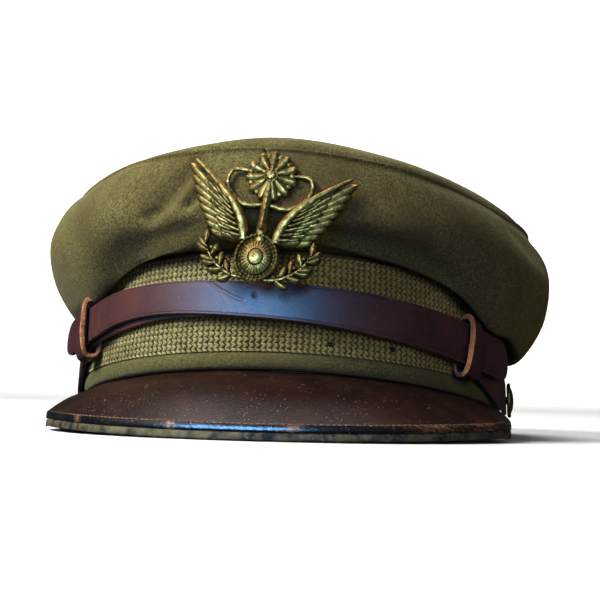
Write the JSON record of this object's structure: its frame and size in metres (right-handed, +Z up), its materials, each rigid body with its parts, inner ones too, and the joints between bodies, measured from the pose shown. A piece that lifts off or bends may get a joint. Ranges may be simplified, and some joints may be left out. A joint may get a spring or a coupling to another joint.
{
  "type": "peaked cap",
  "caption": "Soft-crowned peaked service cap of olive wool with a woven band, leather peak, two-layer chin strap, side buttons and a winged brass badge.",
  "frame": {"origin": "centre of the bounding box on the surface the cap rests on", "axes": "the peak points along -Y, the back of the cap along +Y, +X is the wearer's left, +Z up"},
  "size_m": [0.2254, 0.279, 0.1212],
  "materials": {
    "crown_wool": "milled wool, short nap",
    "band_cloth": "milled wool",
    "woven_braid": "woven mohair braid",
    "peak_leather": "semi-gloss, worn",
    "peak_underside": "dull green",
    "strap_leather": "semi-gloss, creased",
    "keeper_leather": "raw-edged",
    "brass": "aged cast brass"
  },
  "bodies": {
    "root": {"cap_band": "band_cloth", "braid_band": "woven_braid", "crown_quarter_front_right": "crown_wool", "crown_quarter_front_left": "crown_wool", "crown_quarter_rear_left": "crown_wool", "crown_quarter_rear_right": "crown_wool", "crown_top": "crown_wool", "peak_upper": "peak_leather", "peak_lower": "peak_underside", "strap_over": "strap_leather", "strap_under": "strap_leather", "keeper_right": "keeper_leather", "keeper_left": "keeper_leather", "button_right": "brass", "button_left": "brass", "badge": "brass"}
  },
  "joints": []
}
